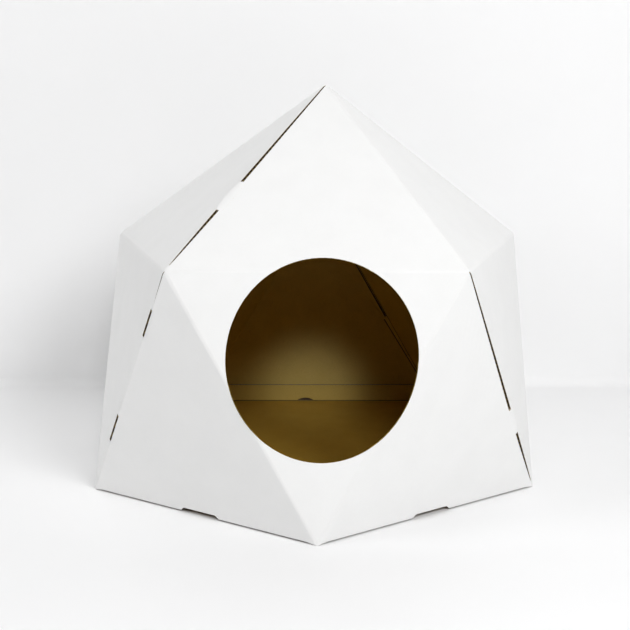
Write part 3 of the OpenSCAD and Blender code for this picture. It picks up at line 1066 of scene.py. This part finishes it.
@dataclass
class TuckTab:
    """A tab that turns over the seam, dips through the notch and lies behind the other panel."""

    seam: Seam
    node: str
    first: float
    last: float
    reach: float = 18 * MM
    slope: float = 0.5
    clear: float = 0.3 * MM
    lip: float = 3.55 * MM
    hold: float = 6 * MM
    tip: float = 0.9 * MM
    taper: float = 5 * MM
    sunk: float = -0.03 * MM
    droop: float = 0.62
    roll_steps: int = 8
    steps: int = 16

    def section(self, make: BoardMake, fold: float) -> list[tuple[float, float]]:
        """The tab's cut across the seam, as distances into the taking panel and above its outer face.

        Args:
            make: The board's make-up.
            fold: Angle between the two panels.

        Returns:
            The closed outline.
        """
        thick, dip, lip = make.thick, self.seam.dip, self.lip
        under = -(thick + self.clear)
        radius = make.roll / math.tan(fold / 2)

        def held(run: float, depth: float) -> tuple[float, float]:
            """A point on the giving panel's side."""
            return (math.sin(fold) * depth - math.cos(fold) * run, -math.sin(fold) * run - math.cos(fold) * depth)

        outline = [held(self.hold, self.sunk)]
        for k in range(self.roll_steps + 1):
            share = k / self.roll_steps
            turn = fold * (1 - share)
            sunk = self.sunk + (dip - self.sunk) * share
            outline.append((make.roll - radius * math.sin(turn), radius * (math.cos(turn) - 1) - sunk))
        if dip > thick / 2:
            outline = [held(self.hold, self.sunk), held(2.2 * MM, self.sunk), held(1.5 * MM, 0.4 * MM), held(1.3 * MM, 1.2 * MM)]
        outline += [(lip - 0.5 * MM, -dip - 0.1 * MM), (lip - 0.12 * MM, -dip - 0.45 * MM), (lip, -dip - 1.1 * MM)]
        outline += [(lip + 0.1 * MM, min(under + 0.9 * MM, -dip - 1.2 * MM)), (lip + 0.7 * MM, under - 0.1 * MM - dip / 4), (lip + 1.8 * MM, under)]
        tip = lip + self.reach
        outline += [(tip, under), (tip, under - self.tip), (tip - self.taper, under - thick), (lip - 0.2 * MM, under - thick - dip / 4), (lip - 2.2 * MM, under - 0.75 * thick)]
        outline += [held(0.0, thick + 1.2 * MM), held(self.hold, thick - self.sunk)]
        return outline

    def lifts(self, count: int) -> list[float]:
        """How much of the bulge each point of the cut takes.

        Args:
            count: Number of points.

        Returns:
            The shares, rising over the bend and falling behind the lip.
        """
        bend = [0.0, *(k / self.roll_steps for k in range(self.roll_steps + 1)), 1.0, 1.0, 0.9, 0.6, 0.3]
        return bend + [0.0] * (count - len(bend))

    def build(self, make: BoardMake) -> Obj:
        """Makes the piece.

        Args:
            make: The board's make-up.

        Returns:
            The piece, riding with the panel that it belongs to.
        """
        takes, gives = PANELS[self.seam.takes], PANELS[self.seam.gives]
        start, end = CORNERS[self.seam.start], CORNERS[self.seam.end]
        along, into, up = (end - start).normalized(), takes.into(start, end), takes.facing()
        length = self.seam.run().length
        low, high = self.first * length + self.clear, self.last * length - self.clear
        fold = takes.facing().angle(gives.facing())
        outline = self.section(make, fold)
        lifts = self.lifts(len(outline))
        bm = bmesh.new()
        face = bm.faces.new([bm.verts.new(start + along * low + into * y + up * z) for y, z in outline])
        bm.faces.ensure_lookup_table()
        ends = [face]
        step = (high - low) / self.steps
        for _ in range(self.steps):
            out = bmesh.ops.extrude_face_region(bm, geom=ends, use_keep_orig=len(bm.faces) == 1)
            moved = [v for v in out["geom"] if isinstance(v, bmesh.types.BMVert)]
            ends = [f for f in out["geom"] if isinstance(f, bmesh.types.BMFace)]
            bmesh.ops.translate(bm, verts=moved, vec=along * step)
        touch = 0.0 if self.seam.shut else make.thick * math.tan(fold / 2) + self.seam.gape
        for vert in bm.verts:
            offset = vert.co - start
            x, y, z = offset.dot(along), offset.dot(into), offset.dot(up)
            share = min(max((x - low) / (high - low), 0.0), 1.0)
            nearest = min(range(len(outline)), key=lambda k: math.dist(outline[k], (y, z)))
            swell = self.seam.bulge * lifts[nearest] * math.sin(math.pi * share) ** 0.6
            past = max(y - self.lip - 1.5 * MM, 0.0)
            lower, upper = low + self.slope * past, high - self.seam.tail * past
            if self.seam.open_slit and 0.0 < y < self.lip + MM and z > -make.thick:
                y *= (touch + (self.lip - touch) * math.sin(math.pi * share) ** 0.6) / self.lip
            y, z = y + swell * math.cos(fold * self.droop), z + swell * math.sin(fold * self.droop)
            vert.co = start + along * (lower + (upper - lower) * share) + into * y + up * z
        bmesh.ops.recalc_face_normals(bm, faces=bm.faces[:])
        for face in bm.faces:
            outside = max(face.normal.dot(up), face.normal.dot(gives.facing()))
            lies = abs(face.normal.dot(along)) > 0.3
            face.material_index = (Ply.EDGE if lies else Ply.WHITE if outside > 0.2 else Ply.KRAFT).value
            face.smooth = not lies
        mesh = to_mesh(bm, self.node)
        if self.seam.shut:
            maker = SeamCutter(make)
            mesh = cut(mesh, [maker.groove(gives, self.seam, maker.beside_root)])
        piece = finish_piece([mesh], self.node + "_tongue", start, along, up)
        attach(piece, gives.body)
        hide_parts(self.node)
        return piece


class Tabs:
    """Every tab of the seams."""

    def build(self, make: BoardMake) -> list[Obj]:
        """Makes the tabs.

        Args:
            make: The board's make-up.

        Returns:
            The pieces.
        """
        pieces = []
        for seam in SEAMS:
            for node, first, last in seam.tabs:
                pieces.append(TuckTab(seam, node, first, last).build(make))
                LOG.info("tab %s", node)
        return pieces


@dataclass
class FloorTray:
    """The loose floor board with its five upturned flaps."""

    make: BoardMake
    gap: float = 0.6 * MM
    flap_tall: float = 22.6 * MM
    end_slope: float = 0.85
    end_gap: float = 2.5 * MM
    lift: float = 0.3 * MM
    valley: float = 1.4 * MM
    bend_round: float = 1.2 * MM
    bend_steps: int = 6
    recess_wide: float = 56 * MM
    recess_deep: float = 13 * MM
    recess_tall: float = 5.8 * MM
    moon_wide: float = 26 * MM
    moon_tall: float = 4.6 * MM
    moon_share: float = 0.548
    moon_steps: int = 24
    ring: tuple[str, ...] = ("fb", "rb", "br", "bl", "lb")
    flaps: tuple[str, ...] = ("flap_front_right", "flap_right", "flap_back", "flap_left", "flap_front_left")

    def drawn_in(self, k: int, inset: float) -> Vector:
        """A base corner drawn in by a distance.

        Args:
            k: Which corner of the ring.
            inset: The distance from both edges.

        Returns:
            The point.
        """
        count = len(self.ring)
        before, here, after = (CORNERS[self.ring[(k + d) % count]] for d in (-1, 0, 1))
        u, v = (here - before).normalized(), (after - here).normalized()
        m, n = Vector((-u.y, u.x, 0)), Vector((-v.y, v.x, 0))
        return here + (m + n) * (inset / (1 + m.dot(n)))

    def board(self, name: str, outline: Sequence[Vector], facing: Vector, flutes: Vector, cutters: Sequence[Mesh],
              extras: Sequence[Mesh] = ()) -> Obj:
        """A flat board with an outer white face and a brown inner face.

        Args:
            name: Name of the piece.
            outline: Points of the outer face.
            facing: Normal of the outer face.
            flutes: Direction of the flutes.
            cutters: What is cut out.
            extras: Further meshes of the piece.

        Returns:
            The piece.
        """
        make = self.make

        def slab(top: float, bottom: float) -> bmesh.types.BMesh:
            """A block between two depths."""
            return prism([p - facing * top for p in outline], facing * (top - bottom))

        plies = []
        for top, bottom, ply in ((0.0, make.liner, Ply.WHITE), (make.thick - make.liner, make.thick, Ply.KRAFT)):
            bm = slab(top, bottom)
            # The white liner's underside takes the flute paper painted near black as shade
            for face in bm.faces:
                side = face.normal.dot(facing)
                bare = Ply.FLUTE_SHADE if side < -0.9 else Ply.EDGE
                face.material_index = (ply if side > 0.9 or ply is Ply.KRAFT else bare).value
            plies.append(to_mesh(bm, name))
        block = to_mesh(slab(0.1 * MM, make.thick - 0.1 * MM), "core_block")
        plies.append(cut(FluteSheet(make).build(outline[0], flutes, facing, outline), [block], "INTERSECT"))
        plies = [cut(ply, cutters) for ply in plies]
        return finish_piece([*plies, *extras], name, outline[0], flutes, facing)

    def side(self, k: int) -> tuple[Vector, Vector, Vector, Vector]:
        """One side of the base.

        Args:
            k: Which side of the ring.

        Returns:
            Its start, its end, the direction along it and the one inwards.
        """
        a, b = CORNERS[self.ring[k]], CORNERS[self.ring[(k + 1) % len(self.ring)]]
        along = (b - a).normalized()
        return a, b, along, Vector((-along.y, along.x, 0))

    def moon(self, outer: float, inner: float) -> Mesh:
        """The half-moon at the back flap's foot as a cutter.

        Args:
            outer: Where it starts, inwards from the base's edge.
            inner: Where it ends.

        Returns:
            The closed cutter.
        """
        a, b, along, inward = self.side(self.flaps.index("flap_back"))
        radius = (self.moon_wide ** 2 / 4 + self.moon_tall ** 2) / (2 * self.moon_tall)
        sweep = math.asin(self.moon_wide / 2 / radius)
        up = Vector((0, 0, 1))
        middle = a + (b - a) * self.moon_share + inward * outer + up * (self.make.thick + self.lift)
        centre = middle + up * (self.moon_tall - radius)
        arc = []
        for k in range(self.moon_steps + 1):
            turn = sweep * (2 * k / self.moon_steps - 1)
            arc.append(centre + along * (radius * math.sin(turn)) + up * (radius * math.cos(turn)))
        bm = prism(arc, inward * (inner - outer))
        # The half-moon's faces are painted near black as shade, so it reads as a dark recess
        paint(bm, Ply.FLUTE_SHADE)
        return to_mesh(bm, "moon_cutter")

    def flap_run(self, k: int) -> tuple[float, float]:
        """Where one flap starts and ends along its side."""
        a, _, along, _ = self.side(k)
        inset = 2 * self.make.thick + self.gap
        low, high = ((self.drawn_in(c, inset) - a).dot(along) for c in (k, k + 1))
        return low + self.end_gap, high - self.end_gap

    def bend(self, k: int) -> Mesh:
        """The white liner's round bend from the floor up to one flap."""
        a, _, along, inward = self.side(k)
        low, high = self.flap_run(k)
        outer, top = self.make.thick + self.gap, self.make.thick + self.lift
        curve = [math.pi / 2 * step / self.bend_steps for step in range(self.bend_steps + 1)]
        shape = []
        for radius, order in ((self.bend_round, curve), (self.bend_round - self.make.liner, curve[::-1])):
            side = [(outer + self.bend_round - radius * math.sin(t), self.bend_round - radius * math.cos(t)) for t in order]
            end = (outer + self.bend_round - radius, top)
            shape += [*side, end] if order is curve else [end, *side]
        bm = prism([a + along * low + inward * u + Vector((0, 0, z)) for u, z in shape], along * (high - low))
        for face in bm.faces:
            # Only the outer faces are white; the inner ones are painted near black as shade
            outside = face.normal.dot(inward) < -0.05 or face.normal.z < -0.05
            face.material_index = (Ply.WHITE if outside else Ply.FLUTE_SHADE).value
        return to_mesh(bm, "bend")

    def recess(self, k: int) -> Mesh:
        """The finger room behind one front wall's foot notch as a cutter."""
        a, b, along, inward = self.side(k)
        start = (a + b) / 2 - along * (self.recess_wide / 2)
        outline = [start, start + along * self.recess_wide]
        outline += [p + inward * self.recess_deep for p in reversed(outline)]
        bm = prism([p - Vector((0, 0, self.lift)) for p in outline], Vector((0, 0, self.recess_tall)))
        # Its faces are painted near black as shade, so the foot notch reads dark inside
        paint(bm, Ply.FLUTE_SHADE)
        return to_mesh(bm, "recess_cutter")

    def crease(self, k: int) -> Mesh:
        """The pressed valley at one flap's foot as a cutter, which leaves the outer liner whole."""
        a, b, _, inward = self.side(k)
        outer, inner = self.make.thick + self.gap + 1.2 * self.make.liner, 3 * self.make.thick
        outline = [a + inward * outer, b + inward * outer, b + inward * inner, a + inward * inner]
        bm = prism(outline, Vector((0, 0, self.make.thick + self.valley)))
        # Its faces are painted near black as shade, for the dark line at the flap's foot
        paint(bm, Ply.FLUTE_SHADE)
        return to_mesh(bm, "crease_cutter")

    def build(self) -> list[Obj]:
        """Makes the floor and its flaps.

        Returns:
            The pieces.
        """
        make, up = self.make, Vector((0, 0, 1))
        inset = make.thick + self.gap
        floor_ring = [self.drawn_in(k, inset + 0.75 * self.bend_round) for k in range(len(self.ring))]
        grain = Vector((1, 0, 0))
        recesses = {k: self.recess(k) for k, node in enumerate(self.flaps) if "front" in node}
        bends = [cut(self.bend(k), [recesses[k]] if k in recesses else []) for k in range(len(self.flaps))]
        floor = self.board("floor_board", list(reversed(floor_ring)), -up, grain, list(recesses.values()), bends)
        # The floor's top takes the copy of the kraft liner with painted shade
        repaint(floor.data, Ply.KRAFT, Ply.FLOOR)
        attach(floor, "tray")
        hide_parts("floor_panel")
        LOG.info("floor board")
        pieces = [floor]
        for k, node in enumerate(self.flaps):
            a, _, along, inward = self.side(k)
            low, high = self.flap_run(k)
            run = self.end_slope * self.flap_tall
            foot = a + inward * inset + up * (make.thick + self.lift)
            outline = [foot + along * x + up * z for x, z in
                       ((low, 0), (high, 0), (high - run, self.flap_tall), (low + run, self.flap_tall))]
            cutters = [self.crease(k)] + ([recesses[k]] if k in recesses else [])
            if node == "flap_back":
                cutters.append(self.moon(0.0, 4 * make.thick))
            flutes = along * grain.dot(along) - up * grain.dot(inward)
            piece = self.board(node + "_board", outline, -inward, flutes, cutters)
            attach(piece, node)
            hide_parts(node)
            LOG.info("flap %s", node)
            pieces.append(piece)
        return pieces


def hang_lamp(light: bpy.types.Light, aim: Vector, turn: float, height: float, distance: float) -> None:
    """Hangs a lamp at two angles round a point and turns it there.

    Args:
        light: The lamp.
        aim: The point it lights.
        turn: Degrees to the right of the front.
        height: Degrees above the floor.
        distance: How far it hangs from the point.
    """
    turn, height = math.radians(turn), math.radians(height)
    away = Vector((math.sin(turn) * math.cos(height), -math.cos(turn) * math.cos(height), math.sin(height)))
    obj = bpy.data.objects.new(light.name, light)
    obj.location = aim + away * distance
    obj.rotation_euler = (-away).to_track_quat("-Z", "Y").to_euler()
    bpy.context.scene.collection.objects.link(obj)


@dataclass(frozen=True)
class Softbox:
    """A soft lamp, placed by its angles round the house."""

    name: str
    turn: float
    height: float
    wide: float
    tall: float
    power: float
    distance: float = 2.6

    def build(self, aim: Vector) -> None:
        """Hangs the lamp and points it.

        Args:
            aim: The point it lights.
        """
        light = bpy.data.lights.new(self.name, "AREA")
        light.shape, light.size, light.size_y, light.energy = "RECTANGLE", self.wide, self.tall, self.power
        hang_lamp(light, aim, self.turn, self.height, self.distance)


SOFTBOXES: tuple[Softbox, ...] = (
    Softbox("key_softbox", 34.0, 35.0, 1.0, 1.0, 38.0),
    Softbox("front_softbox", 5.0, 31.0, 0.5, 0.5, 14.5),
    Softbox("left_fill", -74.0, 27.0, 1.0, 1.0, 17.0),
    Softbox("top_fill", 0.0, 86.0, 1.0, 1.0, 6.0),
)


@dataclass
class EntryBeam:
    """A soft-edged beam through the entry onto the foot of the back wall."""

    turn: float = 0.5
    height: float = 23.0
    distance: float = 2.4
    radius: float = 84 * MM
    power: float = 55.0
    tint: tuple[float, float, float] = (0.72, 0.79, 1.0)
    soft: float = 25 * MM
    aim: Vector = field(default_factory=lambda: Vector((-0.010, 0.227, 0.016)))

    def build(self) -> None:
        """Hangs the lamp and points it."""
        light = bpy.data.lights.new("entry_beam", "SPOT")
        light.energy, light.color, light.shadow_soft_size = self.power, self.tint, self.soft
        light.spot_size, light.spot_blend = 2 * math.atan(self.radius / self.distance), 1.0
        hang_lamp(light, self.aim, self.turn, self.height, self.distance)


@dataclass
class Studio:
    """Pale floor and backdrop, soft light and the camera."""

    wall_y: float = 0.31
    reach: float = 4.0
    cove: float = 0.012
    floor_tone: tuple[float, float, float] = (0.89, 0.89, 0.892)
    air: float = 0.05
    aim: Vector = field(default_factory=lambda: Vector((0, -0.05, 0.2)))

    def backdrop_material(self) -> bpy.types.Material:
        """A pale matt paper with a faint uneven tone, clear from behind."""
        material = bpy.data.materials.new("pale_backdrop")
        material.use_nodes = True
        make = NodeMaker(material.node_tree)
        shader = material.node_tree.nodes["Principled BSDF"]
        place = make.add("ShaderNodeTexCoord").outputs["Object"]
        tone = make.ramp(make.noise(place, 6.0, 3.0), 0.3, 0.7)
        paler = tuple(min(c + 0.012, 1.0) for c in self.floor_tone)
        material.node_tree.links.new(make.blend(tone, (*self.floor_tone, 1.0), (*paler, 1.0)), shader.inputs["Base Color"])
        shader.inputs["Roughness"].default_value = 0.9
        shader.inputs["Specular IOR Level"].default_value = 0.1
        behind = make.add("ShaderNodeNewGeometry").outputs["Backfacing"]
        clear = make.add("ShaderNodeBsdfTransparent").outputs[0]
        seen = make.add("ShaderNodeMixShader", in_0=behind, in_1=shader.outputs[0], in_2=clear)
        material.node_tree.links.new(seen.outputs[0], material.node_tree.nodes["Material Output"].inputs["Surface"])
        return material

    def sweep(self) -> Obj:
        """The floor and the wall behind, as one sheet with a small cove."""
        bm = bmesh.new()
        bmesh.ops.create_grid(bm, x_segments=1, y_segments=1, size=self.reach)
        bmesh.ops.translate(bm, verts=bm.verts[:], vec=Vector((0, self.wall_y - self.reach, 0)))
        rear = [e for e in bm.edges if all(v.co.y > self.wall_y - MM for v in e.verts)]
        out = bmesh.ops.extrude_edge_only(bm, edges=rear)
        moved = [v for v in out["geom"] if isinstance(v, bmesh.types.BMVert)]
        bmesh.ops.translate(bm, verts=moved, vec=Vector((0, 0, self.reach)))
        bmesh.ops.bevel(bm, geom=rear, offset=self.cove, offset_type="OFFSET", segments=8, profile=0.5,
                        affect="EDGES", material=-1)
        bmesh.ops.recalc_face_normals(bm, faces=bm.faces[:])
        if max(bm.faces, key=lambda f: f.calc_area()).normal.dot(Vector((0, -1, 1))) < 0:
            bmesh.ops.reverse_faces(bm, faces=bm.faces[:])
        mesh = bpy.data.meshes.new("studio_sweep")
        bm.to_mesh(mesh)
        bm.free()
        mesh.materials.append(self.backdrop_material())
        obj = bpy.data.objects.new("studio_sweep", mesh)
        bpy.context.scene.collection.objects.link(obj)
        return obj

    def build(self) -> None:
        """Makes the stage, the lamps, the world and the camera."""
        scene = bpy.context.scene
        scene.view_settings.view_transform = "Standard"
        self.sweep()
        for softbox in SOFTBOXES:
            softbox.build(self.aim)
        EntryBeam().build()
        world = bpy.data.worlds.new("studio_air")
        world.use_nodes = True
        make = NodeMaker(world.node_tree)
        back = world.node_tree.nodes["Background"]
        back.inputs[0].default_value = (1.0, 1.0, 1.0, 1.0)
        rays = make.add("ShaderNodeLightPath").outputs
        seen = rays["Is Camera Ray"]
        for mirrored in ("Is Glossy Ray", "Is Transmission Ray"):
            seen = make.math("MAXIMUM", seen, rays[mirrored])
        world.node_tree.links.new(make.ramp(seen, 0.0, 1.0, self.air, 0.9), back.inputs[1])
        scene.world = world
        camera = bpy.data.cameras.new("photo_camera")
        camera.lens, camera.sensor_width = 80.0, 36.0
        obj = bpy.data.objects.new("photo_camera", camera)
        obj.location = (-0.0003, -1.5981, 0.5736)
        obj.rotation_euler = (math.radians(76.143), 0.0, math.radians(0.07))
        scene.collection.objects.link(obj)
        scene.camera = obj


def main() -> None:
    """Builds the house and its studio."""
    logging.basicConfig(level=logging.INFO)
    make = BoardMake()
    make_finishes(make.pitch)
    Shell(make).build()
    Tabs().build(make)
    FloorTray(make).build()
    Studio().build()
    bpy.context.view_layer.update()


if __name__ == "__main__":
    main()
